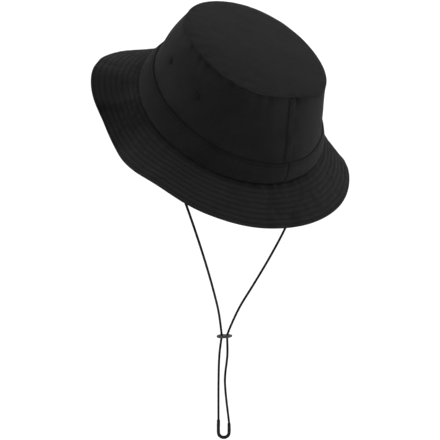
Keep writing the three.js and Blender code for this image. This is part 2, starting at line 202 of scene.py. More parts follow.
def clipped(x):
    return np.clip(x, 0, 1)


def unit(vectors):
    """Vectors of length 1 along the last direction of an array."""
    return vectors / np.linalg.norm(vectors, axis=-1, keepdims=True)


def full_turn(count):
    return np.linspace(0, 2 * math.pi, count, endpoint=False)


def turned(turns, first, second):
    """A circle of points with two perpendicular directions."""
    return first * np.cos(turns)[:, None] + second * np.sin(turns)[:, None]


def round_drop(past):
    """How far a rounded edge has dropped, in radii, at a share of the way past its start."""
    return 1 - np.sqrt(1 - past**2)


def from_back(angle):
    """Angle from the back seam, from -180 to 180."""
    return (np.asarray(angle) + 180) % 360 - 180


def hermite(t, start, rise, end, next_rise):
    """A smooth step from start to end with those slopes."""
    return (start * (2 * t**3 - 3 * t**2 + 1) + rise * (t**3 - 2 * t**2 + t)
            + end * (3 * t**2 - 2 * t**3) + next_rise * (t**3 - t**2))


def station(table, angle, column):
    """Smooth value of one of a table's columns at angles round the hat in degrees."""
    count = len(table)
    turn = np.asarray(angle, float) % 360
    k = np.searchsorted(table[:, 0], turn, side="right") - 1

    def place(n):
        return table[n % count, 0] + 360 * np.floor_divide(n, count)

    def value(n):
        return table[n % count, column]

    def rise(n):
        return (value(n + 1) - value(n - 1)) / (place(n + 1) - place(n - 1))

    width = place(k + 1) - place(k)
    t = (turn - place(k)) / width
    return hermite(t, value(k), rise(k) * width, value(k + 1), rise(k + 1) * width)


def brim_width(angle):
    return station(BRIM_STATIONS, angle, 2) * MM


def tipped(points):
    """Hat frame to row frame."""
    p = np.asarray(points, float)
    c, s = math.cos(TIP_BACK), math.sin(TIP_BACK)
    return np.stack([p[..., 0], p[..., 1] * c + p[..., 2] * s, p[..., 2] * c - p[..., 1] * s], -1)


def ring(oval, angle, outward=0.0):
    """A point on an oval, or outward from it, and the outward direction."""
    turn = np.radians(angle)
    x = oval["across"] * np.sin(turn)
    y = oval["along"] * np.cos(turn)
    nx, ny = x / oval["across"] ** 2, y / oval["along"] ** 2
    size = np.hypot(nx, ny)
    nx, ny = nx / size, ny / size
    place = np.stack([x + outward * nx, y + outward * ny + oval["back"], oval["up"] + 0 * x], -1)
    return place, np.stack([nx, ny, 0 * x], -1)


def wall(angle, up, outward=0.0):
    """Point of the crown wall at a height, moved outward."""
    up = np.asarray(up, float)
    low = up < BAND_TOP["up"]
    t_low = up / BAND_TOP["up"]
    t_high = (up - BAND_TOP["up"]) / (CROWN_TOP["up"] - BAND_TOP["up"])
    oval = {}
    for key in ("across", "along", "back"):
        lower = OPENING[key] + (BAND_TOP[key] - OPENING[key]) * t_low
        upper = BAND_TOP[key] + (CROWN_TOP[key] - BAND_TOP[key]) * t_high
        oval[key] = np.where(low, lower, upper)
    oval["up"] = up
    share = np.maximum(t_high, 0)
    ease = (station(CROWN_EASE, angle, 1) * share**EASE_POWER
            + station(CROWN_EASE, angle, 2) * np.sin(math.pi * share)) * MM
    point = ring(oval, angle, outward + ease)[0]
    point[..., 2] += lean_at(point[..., 0]) * share
    return point


def lean_at(across):
    """How much higher the leaning crown top is at a distance across."""
    return CROWN_LEAN * across / CROWN_TOP["across"]


def facing(surface, a, b, step_a, step_b, away):
    """Unit normals of a surface function, on the side that faces away."""
    along = surface(a + step_a, b) - surface(a - step_a, b)
    across = surface(a, b + step_b) - surface(a, b - step_b)
    normal = unit(np.cross(along, across))
    return normal * np.where((normal * away).sum(-1, keepdims=True) < 0, -1, 1)


def row_humps(distance, rows, width):
    """A bump of height 1 along each row."""
    return sum(hump(distance, row, width) for row in rows)


# ---- meshes ----
def new_object(name, verts, faces, uvs=None, tone=None):
    """A smooth mesh whose faces all point out of its closed body. tone is how pale each point is painted,
    from 0 to 1, for the cloth colour; in places it holds painted shade and painted light."""
    mesh = bpy.data.meshes.new(name)
    mesh.from_pydata(np.asarray(verts).reshape(-1, 3).tolist(), [], faces)
    if uvs is not None:
        layer = mesh.uv_layers.new(name="UVMap")
        layer.data.foreach_set("uv", np.asarray(uvs, np.float32).ravel())
    if tone is not None:
        layer = mesh.attributes.new("tone", "FLOAT", "POINT")
        layer.data.foreach_set("value", np.clip(tone, 0, 1).astype(np.float32).ravel())
    work = bmesh.new()
    work.from_mesh(mesh)
    bmesh.ops.delete(work, geom=[v for v in work.verts if not v.link_faces], context="VERTS")
    bmesh.ops.recalc_face_normals(work, faces=work.faces)
    work.to_mesh(mesh)
    work.free()
    mesh.polygons.foreach_set("use_smooth", [True] * len(mesh.polygons))
    mesh.set_sharp_from_angle(angle=math.radians(60))
    mesh.update()
    obj = bpy.data.objects.new(name, mesh)
    bpy.context.scene.collection.objects.link(obj)
    return obj


def grid_of(first, second):
    return np.meshgrid(first, second, indexing="ij")


def quads(grid):
    """Four corners of every cell of a grid of numbers."""
    cells = np.stack([grid[:-1, :-1], grid[1:, :-1], grid[1:, 1:], grid[:-1, 1:]], -1)
    return cells.reshape(-1, 4)


def shell_faces(columns, rows, closed, holes):
    """Vertex numbers and pattern numbers of a closed shell between two grids. Cells where
    holes is true are left out, and every open edge is walled from one grid to the other."""
    front = np.arange(columns * rows).reshape(columns, rows)
    if closed:
        front = np.vstack([front, front[:1]])
    back = front + columns * rows
    pattern = np.arange(front.size).reshape(front.shape)
    kept = np.ones((len(front) - 1, rows - 1), bool)
    if holes is not None:
        kept &= ~holes
    chosen = kept.ravel()
    faces = [quads(front)[chosen], quads(back)[chosen][:, ::-1]]
    uv_faces = [quads(pattern)[chosen], quads(pattern)[chosen][:, ::-1]]
    framed = np.pad(kept, ((0, 0), (1, 1)))
    i, j = np.nonzero(framed[:, 1:] != framed[:, :-1])
    edges = [(i, j, i + 1, j)]
    framed = np.vstack([kept[-1:], kept, kept[:1]]) if closed else np.pad(kept, ((1, 1), (0, 0)))
    changed = framed[1:] != framed[:-1]
    if closed:
        changed[-1] = False
    i, j = np.nonzero(changed)
    edges.append((i, j, i, j + 1))
    for i, j, k, m in edges:
        faces.append(np.stack([front[i, j], front[k, m], back[k, m], back[i, j]], 1))
        uv_faces.append(np.stack([pattern[i, j], pattern[k, m], pattern[k, m], pattern[i, j]], 1))
    return np.concatenate(faces), np.concatenate(uv_faces)


def shell(name, outer, inner, closed, u, v, tone=None, holes=None):
    """A closed shell. outer and inner are grids of points (columns, rows, 3) in the hat frame, u and v are
    cloth lengths along them, and tone is how pale each outer point is painted, which in places holds painted
    shade and painted light."""
    columns, rows = outer.shape[:2]
    faces, uv_faces = shell_faces(columns, rows, closed, holes)
    table = np.stack(grid_of(u, v), -1).reshape(-1, 2)
    verts = tipped(np.concatenate([outer.reshape(-1, 3), inner.reshape(-1, 3)]))
    values = np.full(2 * columns * rows, 0.5)
    if tone is not None:
        values[: columns * rows] = tone.ravel()
    return new_object(name, verts, faces.tolist(), table[uv_faces.ravel()], values)


def disc_shell(name, outer, inner, tone):
    """A closed round shell whose grids (columns, rows, 3) end in one middle point."""
    columns, rows = outer.shape[:2]
    ring_count = columns * (rows - 1)
    faces = []
    for side in (0, 1):
        base = side * (ring_count + 1)
        grid = base + np.arange(ring_count).reshape(columns, rows - 1)
        grid = np.vstack([grid, grid[:1]])
        faces += quads(grid).tolist()
        middle = base + ring_count
        faces += [[a, b, middle] for a, b in zip(grid[:-1, -1], grid[1:, -1])]
    rims = [np.append(np.arange(columns) * (rows - 1) + s * (ring_count + 1), s * (ring_count + 1))
            for s in (0, 1)]
    faces += quads(np.stack(rims, 1)).tolist()
    parts, flats, tones = [], [], []
    for side in (outer, inner):
        points = np.vstack([side[:, :-1].reshape(-1, 3), side[:1, -1]])
        parts.append(points)
        flats.append(points[:, :2])
        tones.append(np.append(tone[:, :-1].ravel(), tone[0, -1]))
    flat = np.vstack(flats)
    corners = np.concatenate([np.asarray(f) for f in faces])
    return new_object(name, tipped(np.vstack(parts)), faces, flat[corners], np.concatenate(tones))


def sides_along(line):
    """Two perpendicular side directions, free of twist, at each point of a line."""
    tangent = unit(np.gradient(line, axis=0))
    side = np.cross(tangent[0], SIDE_START)
    sides = []
    for t in tangent:
        side = unit(side - t * (side @ t))
        sides.append(side)
    sides = np.array(sides)
    return sides, np.cross(tangent, sides)


def walked(line):
    """Distance along a line of points, at each point."""
    return np.append(0, np.cumsum(np.linalg.norm(np.diff(line, axis=0), axis=1)))


def points_at(distance, line, values=None):
    """The line's points, or the values that belong to them, at distances along the line."""
    values = line if values is None else values
    reach = walked(line)
    return np.stack([np.interp(distance, reach, values[:, k]) for k in range(3)], -1)


def tube(name, line, rings, around=14):
    """A closed tube along a line in the row frame. rings are (distance along, radius)."""
    line = np.asarray(line, float)
    at, radii = np.array(rings).T
    centre, side, other = (points_at(at, line, part) for part in (line, *sides_along(line)))
    circle = turned(full_turn(around), side[:, None], other[:, None])
    verts = centre[:, None] + circle * radii[:, None, None]
    count = len(at)
    grid = np.arange(count * around).reshape(count, around)
    pattern = np.arange(count * (around + 1)).reshape(count, around + 1)
    table = np.stack(grid_of(at, np.linspace(0, 1, around + 1)), -1)
    uvs = [table.reshape(-1, 2)[quads(pattern).ravel()]]
    faces = quads(np.hstack([grid, grid[:, :1]])).tolist()
    for ring_start in (0, (count - 1) * around):
        faces.append(list(range(ring_start, ring_start + around)))
        uvs.append(np.zeros((around, 2)))
    return new_object(name, verts, faces, np.vstack(uvs))


def stitches(name, rows, pitch=STITCH_PITCH, length=STITCH_LENGTH, radius=THREAD_RADIUS):
    """One mesh of threads. rows is a list of (points, normals) in the hat frame."""
    rings, around = 5, 5
    share = np.linspace(-1, 1, rings)
    turn = full_turn(around)
    verts, faces, offset = [], [], 0
    for points, normals in rows:
        whole = walked(points)[-1]
        count = max(int(whole / pitch), 1)
        middle = (np.arange(count) + 0.5) * whole / count
        spot = points_at(middle[:, None] + share[None] * length / 2, points)
        up = points_at(middle, points, normals)
        along = unit(spot[:, -1] - spot[:, 0])
        up = unit(up - along * (up * along).sum(1, keepdims=True))
        across = np.cross(along, up)
        lift = radius * (0.75 - 1.9 * share**4)
        thick = radius * (1 - 0.45 * share**4)
        centre = spot + up[:, None] * lift[None, :, None]
        circle = turned(turn, across[:, None, None], up[:, None, None])
        verts.append((centre[:, :, None] + circle * thick[None, :, None, None]).reshape(-1, 3))
        grid = np.arange(rings * around).reshape(rings, around)
        cell = quads(np.hstack([grid, grid[:, :1]]))
        starts = offset + np.arange(count) * rings * around
        faces += (starts[:, None, None] + cell[None]).reshape(-1, 4).tolist()
        for first in (0, (rings - 1) * around):
            faces += (starts[:, None] + first + np.arange(around)[None]).tolist()
        offset += count * rings * around
    return new_object(name, tipped(np.vstack(verts)), faces)


# ---- materials ----
class Paint:
    """Builds one node material a step at a time."""

    def __init__(self, name):
        self.material = bpy.data.materials.new(name)
        self.material.use_nodes = True
        self.nodes = self.material.node_tree.nodes
        self.links = self.material.node_tree.links
        self.shader = self.nodes["Principled BSDF"]

    def node(self, kind, **settings):
        made = self.nodes.new(kind)
        for key, value in settings.items():
            setattr(made, key, value)
        return made

    def link(self, source, target):
        if hasattr(source, "is_output"):
            self.links.new(source, target)
        else:
            target.default_value = source

    def math(self, operation, a, b=0.0, c=0.0):
        made = self.node("ShaderNodeMath", operation=operation)
        for socket, value in zip(made.inputs, (a, b, c)):
            self.link(value, socket)
        return made.outputs[0]

    def plus(self, a, share, b):
        """That share of a, added to b."""
        return self.math("MULTIPLY_ADD", a, share, b)

    def times(self, a, b):
        return self.math("MULTIPLY", a, b)

    def minus(self, a, b):
        return self.math("SUBTRACT", a, b)

    def mix(self, share, a, b):
        made = self.node("ShaderNodeMix", data_type="RGBA")
        self.link(share, made.inputs["Factor"])
        for socket, value in zip((made.inputs[6], made.inputs[7]), (a, b)):
            self.link(value, socket)
        return made.outputs[2]

    def place(self):
        return self.node("ShaderNodeTexCoord").outputs["Object"]

    def cloth_uv(self):
        uv = self.node("ShaderNodeUVMap", uv_map="UVMap").outputs[0]
        split = self.node("ShaderNodeSeparateXYZ")
        self.links.new(uv, split.inputs[0])
        return split.outputs[0], split.outputs[1]

    def noise(self, size, detail=2.0, roughness=0.5):
        made = self.node("ShaderNodeTexNoise")
        self.links.new(self.place(), made.inputs["Vector"])
        made.inputs["Scale"].default_value = 1 / size
        made.inputs["Detail"].default_value = detail
        made.inputs["Roughness"].default_value = roughness
        return made.outputs["Fac"]

    def attribute(self, name):
        return self.node("ShaderNodeAttribute", attribute_name=name).outputs["Fac"]

    def waves(self, length, pitch):
        """A ripple from -1 to 1 with that pitch along a length in metres."""
        return self.math("SINE", self.times(length, 2 * math.pi / pitch))

    def bump(self, height, distance):
        made = self.node("ShaderNodeBump")
        self.links.new(height, made.inputs["Height"])
        made.inputs["Distance"].default_value = distance
        self.links.new(made.outputs[0], self.shader.inputs["Normal"])

    def colour(self, share, dark, light):
        """Base colour between two shades."""
        self.set(Base_Color=self.mix(share, dark, light))

    def set(self, **values):
        for key, value in values.items():
            self.link(value, self.shader.inputs[key.replace("_", " ")])


def grey(value, warm=0.0):
    return (value * (1 + warm), value, value * (1 - warm), 1)


def twill(name, dark, light, pitch=0.62 * MM, fuzz=0.04):
    """Washed cotton twill: diagonal ribs, paler or darker by the tone attribute (which holds painted shade
    and painted light in places), a little mottled.
    """
    paint = Paint(name)
    u, v = paint.cloth_uv()
    rib = paint.waves(paint.math("ADD", u, v), pitch)
    yarn = paint.waves(paint.minus(paint.times(v, 1.6), u), pitch * 0.8)
    weave = paint.plus(yarn, 0.35, rib)
    mottle = paint.plus(paint.noise(34 * MM, 3), 0.5, 0.25)
    speck = paint.noise(1.6 * MM, 3, 0.7)
    lint = paint.noise(0.5 * MM, 2, 0.8)
    # The tone attribute holds painted shade and painted light as well as the cloth's own tone.
    tone_with_painted_light = paint.attribute("tone")
    tone = paint.plus(paint.minus(tone_with_painted_light, 0.5), 0.9, mottle)
    tone = paint.plus(paint.minus(speck, 0.5), 1.1, tone)
    tone = paint.plus(weave, 0.10, tone)
    span = paint.node("ShaderNodeMapRange")
    paint.link(tone, span.inputs["Value"])
    span.inputs["From Min"].default_value = 0.05
    span.inputs["From Max"].default_value = 0.95
    paint.colour(span.outputs[0], grey(dark), grey(light))
    paint.set(Roughness=paint.plus(speck, 0.12, 0.84))
    paint.set(Sheen_Weight=fuzz, Sheen_Roughness=0.5, Specular_IOR_Level=0.08)
    height = paint.plus(lint, 1.2, paint.times(weave, 0.5))
    paint.bump(height, 0.11 * MM)
    return paint.material


def plain_weave(name, dark, light, pitch=0.5 * MM):
    """Plain woven cotton: over and under in both directions."""
    paint = Paint(name)
    u, v = paint.cloth_uv()
    weave = paint.times(paint.waves(u, pitch), paint.waves(v, pitch))
    mottle = paint.noise(22 * MM, 3)
    speck = paint.noise(1.1 * MM, 3, 0.7)
    tone = paint.plus(weave, 0.12, paint.plus(speck, 0.5, paint.times(mottle, 0.5)))
    paint.colour(tone, grey(dark), grey(light))
    paint.set(Roughness=paint.plus(speck, 0.15, 0.8))
    paint.set(Sheen_Weight=0.04, Sheen_Roughness=0.5, Specular_IOR_Level=0.12)
    paint.bump(paint.plus(speck, 0.8, paint.times(weave, 0.6)), 0.1 * MM)
    return paint.material


def thread_paint(name, dark, light):
    """Twisted polyester thread with a faint shine."""
    paint = Paint(name)
    speck = paint.noise(0.35 * MM, 2, 0.7)
    paint.colour(speck, grey(dark), grey(light))
    paint.set(Roughness=paint.plus(speck, 0.2, 0.6), Specular_IOR_Level=0.12)
    paint.bump(speck, 0.06 * MM)
    return paint.material


def braid(name, dark, light, around=8, pitch=2.1 * MM):
    """Round braided cord: two sets of strands that cross as they wind round it."""
    paint = Paint(name)
    u, v = paint.cloth_uv()
    lay = paint.times(u, 2 * math.pi * around / 2 / (pitch * 2))
    turn = paint.times(v, 2 * math.pi * around / 2)
    one = paint.math("SINE", paint.math("ADD", lay, turn))
    two = paint.math("SINE", paint.minus(lay, turn))
    strands = paint.math("MAXIMUM", one, two)
    speck = paint.noise(0.6 * MM, 3, 0.7)
    tone = paint.plus(strands, 0.35, paint.times(speck, 0.6))
    paint.colour(tone, grey(dark), grey(light))
    paint.set(Roughness=paint.plus(speck, 0.2, 0.55))
    paint.set(Sheen_Weight=0.01, Sheen_Roughness=0.4, Specular_IOR_Level=0.1)
    paint.bump(paint.plus(speck, 0.3, strands), 0.16 * MM)
    return paint.material


def leather(name, dark, light):
    """Split leather, dull and fibrous, darker where it is handled."""
    paint = Paint(name)
    grain = paint.noise(0.9 * MM, 5, 0.75)
    patch = paint.noise(5 * MM, 2)
    fibre = paint.noise(0.22 * MM, 2, 0.8)
    tone = paint.plus(grain, 0.7, paint.times(patch, 0.4))
    paint.colour(tone, grey(dark), grey(light, 0.02))
    paint.set(Roughness=paint.plus(grain, 0.3, 0.55), Specular_IOR_Level=0.35)
    paint.bump(paint.plus(fibre, 0.4, grain), 0.22 * MM)
    return paint.material


def rubber(name, dark, light):
    """Shrunk tube: satin black with fine lengthways creases and scuffs."""
    paint = Paint(name)
    crease = paint.waves(paint.cloth_uv()[1], 1 / 9)
    scuff = paint.noise(1.4 * MM, 4, 0.7)
    paint.colour(scuff, grey(dark), grey(light))
    paint.set(Roughness=paint.plus(scuff, 0.3, 0.4), Specular_IOR_Level=0.15)
    paint.bump(paint.plus(crease, 0.25, scuff), 0.12 * MM)
    return paint.material


def floor_paint(name):
    """Pale painted floor whose colour is barely uneven."""
    paint = Paint(name)
    cloud = paint.noise(0.8, 3)
    paint.colour(cloud, (0.9, 0.9, 0.9, 1), (0.93, 0.93, 0.93, 1))
    paint.set(Roughness=0.9)
    return paint.material


def dress(obj, material, slot_name, body, *nodes):
    """Gives a finished piece its material and body, and hides the CAD nodes it stands for. slot_name is not
    used.
    """
    obj.data.materials.clear()
    obj.data.materials.append(material)
    if body:
        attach(obj, body)
    if nodes:
        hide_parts(*nodes)
    return obj


# ---- soft relief of the sewn cloth ----
WALL_ROUND = 80 * MM
BRIM_ROUND = 120 * MM


# Slow unevenness: height in mm, size and seed of each of its layers.
WALL_SAG = ((0.6, 58 * MM, 1), (0.35, 26 * MM, 2))
TOP_SAG = ((0.8, 52 * MM, 20), (0.35, 20 * MM, 21), (0.14, 8 * MM, 22))
BRIM_SWAY = ((0.8, 42 * MM, 14),)
# Each kind of ripple: height in mm, size round the hat and size away from its seam, and its seed.
RIPPLES = {
    "crown fine": (0.24, 11 * MM, 11 * MM, 3),
    "crown top": (0.8, 5.5 * MM, 26 * MM, 4),
    "crown seam": (0.8, 26 * MM, 6 * MM, 5),
    "band": (0.28, 7 * MM, 16 * MM, 6),
    "band crease": (0.7, 34 * MM, 2.8 * MM, 7),
    "brim": (0.22, 5 * MM, 9 * MM, 8),
    "brim channel": (0.25, 6.5 * MM, 7 * MM, 10),
    "brim wave": (0.3, 14 * MM, 40 * MM, 12),
    "top panel": (0.7, 6.5 * MM, 22 * MM, 23),
    "sweatband edge": (0.5, 30 * MM, 60 * MM, 31),
    "sweatband": (0.12, 6 * MM, 14 * MM, 32),
    "tape": (0.2, 5 * MM, 8 * MM, 33),
    "label": (0.25, 12 * MM, 9 * MM, 34),
}


def layered(points, layers):
    """The sum of several layers of noise."""
    return sum(height * noise(points, size, seed) for height, size, seed in layers)


def ripple(kind, angle, along, radius=WALL_ROUND, side=0):
    """Uneven ripples of one kind, at angles and at distances away from the seam. side picks
    other ripples of the same kind for the brim's under face."""
    height, around_size, along_size, seed = RIPPLES[kind]
    turn = np.radians(angle)
    around = radius / around_size
    spot = [around * np.sin(turn), around * np.cos(turn), along / along_size + 0 * turn]
    return height * noise(np.stack(np.broadcast_arrays(*spot), -1), 1.0, seed + side)


def half_across(up):
    """The crown's half width at a height."""
    return np.interp(up, [0, BAND_TOP["up"], CROWN_TOP["up"]],
                     [OPENING["across"], BAND_TOP["across"], CROWN_TOP["across"]])


def seam_distance(angle, up):
    """Distance to the nearer of the back and front seams."""
    return np.abs(half_across(up) * np.sin(np.radians(angle)))


def wall_sag(angle, up):
    """Slow unevenness of the soft crown wall, which every piece on it follows."""
    slow = layered(wall(angle, up), WALL_SAG)
    held = clipped(up / (20 * MM)) * clipped((CROWN_TOP["up"] - up) / (12 * MM))
    return slow * held * MM


def crown_relief(angle, up):
    """Wall sag with puckers below the top seam and beside the back and front seams."""
    fine = ripple("crown fine", angle, up)
    top = ripple("crown top", angle, up) * fade(CROWN_TOP["up"] - up, 6.5 * MM)
    side = ripple("crown seam", angle, up) * fade(seam_distance(angle, up), 8 * MM)
    return wall_sag(angle, up) + (fine + top + side) * MM


def crown_face(angle, up):
    """The crown wall's outer face."""
    return wall(angle, up, crown_relief(angle, up))


def band_bulge(up):
    """How far the hat band bulges at a height."""
    return BAND_BULGE * np.sin(math.pi * clipped(up / BAND_TOP["up"]) ** 0.85)


def band_relief(angle, up):
    """How far the hat band's outer face stands out from the crown wall."""
    pucker = ripple("band", angle, up) * (0.4 + fade(BAND_TOP["up"] - up, 7 * MM))
    creased = hump(from_back(angle), 16, 12) * hump(up, 15 * MM, 6 * MM)
    crease = ripple("band crease", angle, up) * creased
    row = -0.3 * hump(up, BAND_TOP["up"] - BAND_ROW_INSET, ROW_WIDTH)
    seam = -0.55 * hump(seam_distance(angle, up), 0, 1.1 * MM)
    past = clipped((up - BAND_TOP["up"] + EDGE_ROLL) / EDGE_ROLL)
    fold = -0.7 * round_drop(past)
    tuck = -0.8 * hump(up, 0, 1.4 * MM)
    relief = (pucker + crease + row + seam + fold + tuck) * MM
    return GAP + BAND_PLY + band_bulge(up) + relief + wall_sag(angle, up)


def band_face(angle, up):
    """The hat band's outer face."""
    return wall(angle, up, band_relief(angle, up))


def brim_place(angle, out, lower):
    """A point on the brim: out along its slope, then lower square to the slope."""
    slope = np.radians(station(BRIM_STATIONS, angle, 1))
    start, outward = ring(OPENING, angle, BRIM_START)
    down = np.stack([0 * slope, 0 * slope, 1 + 0 * slope], -1)
    along = outward * np.cos(slope)[..., None] - down * np.sin(slope)[..., None]
    square = -outward * np.sin(slope)[..., None] - down * np.cos(slope)[..., None]
    out, lower = (np.asarray(part, float)[..., None] for part in (out, lower))
    tucked = outward * np.minimum(out, 0) + along * np.maximum(out, 0)
    return start - down * BRIM_DROP + tucked + square * lower


def brim_rows(width):
    """Where the stitch rows run, out from the crown, on a brim of that width."""
    inner = [(BRIM_ROW_FIRST + k * BRIM_ROW_STEP) * width / BRIM_WIDTH for k in range(BRIM_ROWS)]
    return inner + [width - EDGE_ROW_INSET]


def brim_relief(angle, out, side):
    """Height of the brim cloth: stitched grooves, and puckers between the rows."""
    width = brim_width(angle)
    grooves = row_humps(out, brim_rows(width), 1.0 * MM)
    turn = from_back(angle)
    tight = 1 + 1.5 * hump(turn, 8, 20) + 0.6 * hump(turn, 100, 26)
    channel = np.floor(out / (BRIM_ROW_STEP * width / BRIM_WIDTH) + 0.12)
    pucker = ripple("brim", angle, out, BRIM_ROUND, side)
    pucker += ripple("brim channel", angle, channel * 7 * MM, BRIM_ROUND, side) * (1 - grooves)
    wave = ripple("brim wave", angle, out, BRIM_ROUND, side) * clipped(out / width)
    return (-0.55 * grooves + (pucker + wave) * tight) * MM


def brim_sway(angle, out):
    """Slow unevenness that both brim cloths follow, growing towards the edge."""
    slow = layered(brim_place(angle, out, 0 * out), BRIM_SWAY)
    return slow * clipped(out / (30 * MM)) * MM


def past_roll(out, width):
    """Share of the way round the brim's rounded edge."""
    return clipped((out - width + BRIM_ROLL) / BRIM_ROLL)


def brim_face(angle, out, side):
    """The brim's upper face (side 0) or under face (side 1)."""
    past = past_roll(out, brim_width(angle))
    drop = BRIM_ROLL * round_drop(past)
    rise = brim_relief(angle, out, side) * (1 - past)
    lower = drop - rise if side == 0 else BRIM_THICK - drop + rise
    return brim_place(angle, out, lower - brim_sway(angle, out))


# ---- crown ----
def eyelet_frame(angle):
    """Middle of an eyelet on the crown wall, its outward direction and two directions across."""
    angle = np.asarray(float(angle))
    up = np.asarray(EYELET_UP)
    middle = wall(angle, up, wall_sag(angle, up))
    above = wall(angle, up + MM) - wall(angle, up)
    beside = wall(angle + 1, up) - wall(angle - 1, up)
    above, beside = unit(above), unit(beside)
    outward = np.cross(above, beside)
    outward *= np.sign(outward @ (middle * (1, 1, 0)))
    return middle, outward, above, np.cross(outward, above)


def rolled_edge(radius, count=5):
    """Steps of a rounded cloth edge: share of the radius along it and inward."""
    turn = np.linspace(0, math.pi / 2, count + 1)[1:]
    return radius * np.sin(turn), radius * (1 - np.cos(turn))


def crown_side(node, first):
    """Half the crown wall, with openings for the eyelets and a rounded top edge."""
    angles = np.linspace(first + 180 - SIDE_END, first + SIDE_END, HALF_COLUMNS)
    top = CROWN_TOP["up"] - EDGE_ROLL
    roll_up, roll_in = rolled_edge(EDGE_ROLL)
    ups = np.append(np.linspace(WALL_LOW, top, SIDE_STEPS), top + roll_up)
    inward = np.append(np.zeros(SIDE_STEPS), roll_in)
    angle, up = grid_of(angles, ups)
    relief = crown_relief(angle, up)
    outer = wall(angle, up, relief - inward[None])
    inner = wall(angle, up, wall_sag(angle, up) - SIDE_PLY)
    centres = (outer[:-1, :-1] + outer[1:, 1:]) / 2
    holes = np.zeros(centres.shape[:2], bool)
    tone = PART_TONE["side"] + 0.5 * (relief - wall_sag(angle, up)) / MM
    for eyelet in EYELETS.values():
        middle = eyelet_frame(eyelet)[0]
        holes |= np.linalg.norm(centres - middle, axis=-1) < EYELET_PUNCH
        # Painted shade: the cloth is darkened in a ring round each eyelet.
        tone -= 0.5 * hump(np.linalg.norm(outer - middle, axis=-1), 0, 1.3 * EYELET["outer"])
    around = np.radians(angles) * WALL_ROUND
    side = shell(f"{node}_cloth", outer, inner, False, around, ups, tone, holes)
    return dress(side, SHELL, "shell_cloth", "hat", node)


def top_panel():
    """The oval top panel: domed, with a rounded edge that sits on the crown wall."""
    angles = np.linspace(360, 0, TOP_GRID[0], endpoint=False)
    rim, _ = ring(CROWN_TOP, angles, TOP_OVERHANG + station(CROWN_EASE, angles, 1) * MM)
    centre = np.array([0, CROWN_TOP["back"], 0])
    reach = np.linalg.norm(rim[:, :2] - centre[:2], axis=1)[:, None]
    roll_up, roll_in = rolled_edge(EDGE_ROLL)
    rolled_share = 1 - np.append(0, roll_in)[None] / reach
    inside = np.linspace(1, 0, TOP_GRID[1])[None, 1:] * rolled_share[:, -1:]
    share = np.concatenate([rolled_share, inside], 1)
    flat = centre + (rim[:, None] * (1, 1, 0) - centre) * share[..., None]
    height = np.broadcast_to(np.append(0, roll_up)[None] + TOP_EDGE_UP, rolled_share.shape)
    begin = rolled_share[:, -1:]
    dome = TOP_EDGE_UP + EDGE_ROLL + TOP_RISE * (1 - (inside / begin) ** 2) ** 0.78
    height = np.concatenate([height, dome], 1)
    from_edge = (1 - share) * reach
    angle = angles[:, None] + 0 * share
    soft = layered(flat, TOP_SAG)
    pucker = ripple("top panel", angle, from_edge) * fade(from_edge, 7 * MM)
    relief = soft * clipped(from_edge / (9 * MM)) + pucker * clipped(from_edge / (1.5 * MM))
    lean = lean_at(flat[..., 0])
    up = height + lean + relief * MM
    outer = np.concatenate([flat[..., :2], up[..., None]], -1)
    pulled = centre + (flat - centre) * (1 - SIDE_PLY / reach)[..., None]
    low = np.maximum(up - TOP_PLY, TOP_EDGE_UP - 0.05 * MM + lean)
    inner = np.concatenate([pulled[..., :2], low[..., None]], -1)
    tone = PART_TONE["top"] + 0.25 * relief
    panel = disc_shell("top_cloth", outer, inner, tone)
    return dress(panel, SHELL, "shell_cloth", "hat", "crown_top_panel")


def hat_band(node, first):
    """Half the hat band, bulging over the brim seam, folded and stitched at its top."""
    angles = np.linspace(first + 180 - BAND_END, first + BAND_END, HALF_COLUMNS)
    top = BAND_TOP["up"] - EDGE_ROLL
    ups = np.append(np.linspace(WALL_LOW, top, BAND_STEPS), top + rolled_edge(EDGE_ROLL)[0])
    angle, up = grid_of(angles, ups)
    relief = band_relief(angle, up)
    outer = wall(angle, up, relief)
    inner = wall(angle, up, wall_sag(angle, up) + GAP + band_bulge(up))
    folded = clipped((up - BAND_TOP["up"] + 1.1 * MM) / (1.1 * MM))
    rough = (relief - wall_sag(angle, up) - GAP - BAND_PLY - band_bulge(up)) / MM
    # Painted shade: the tone is darkened along the folded top edge, for the fine dark line at the fold, and
    # at the band's foot, for the deep shade where the band meets the brim.
    tone = PART_TONE["band"] + 0.4 * rough - 0.5 * folded - 0.4 * hump(up, 0, 2 * MM)
    piece = shell(f"{node}_cloth", outer, inner, False, np.radians(angles) * WALL_ROUND, ups, tone)
    return dress(piece, SHELL, "shell_cloth", "hat", node)


def strip_angle(middle, across, up):
    """Angle round the hat at a distance across from the back (0) or front (180) seam."""
    return middle + np.degrees(np.arcsin(across / half_across(up)))


def strip_face(middle, across, up):
    """Outer face of a lapped seam: soft edges, two stitched grooves and puckers between."""
    share = clipped(np.abs(across) / STRIP_HALF)
    body = STRIP_RISE * (1 - share**4)
    row = -0.3 * MM * hump(np.abs(across), STRIP_ROW, ROW_WIDTH)
    pucker = 0.42 * noise(np.stack([across / (7 * MM), up / (4.5 * MM), 0 * up + middle], -1), 1.0, 30)
    pucker *= 1 - 0.6 * share**4
    angle = strip_angle(middle, across, up)
    return wall(angle, up, crown_relief(angle, up) + GAP + body + row + pucker * MM)


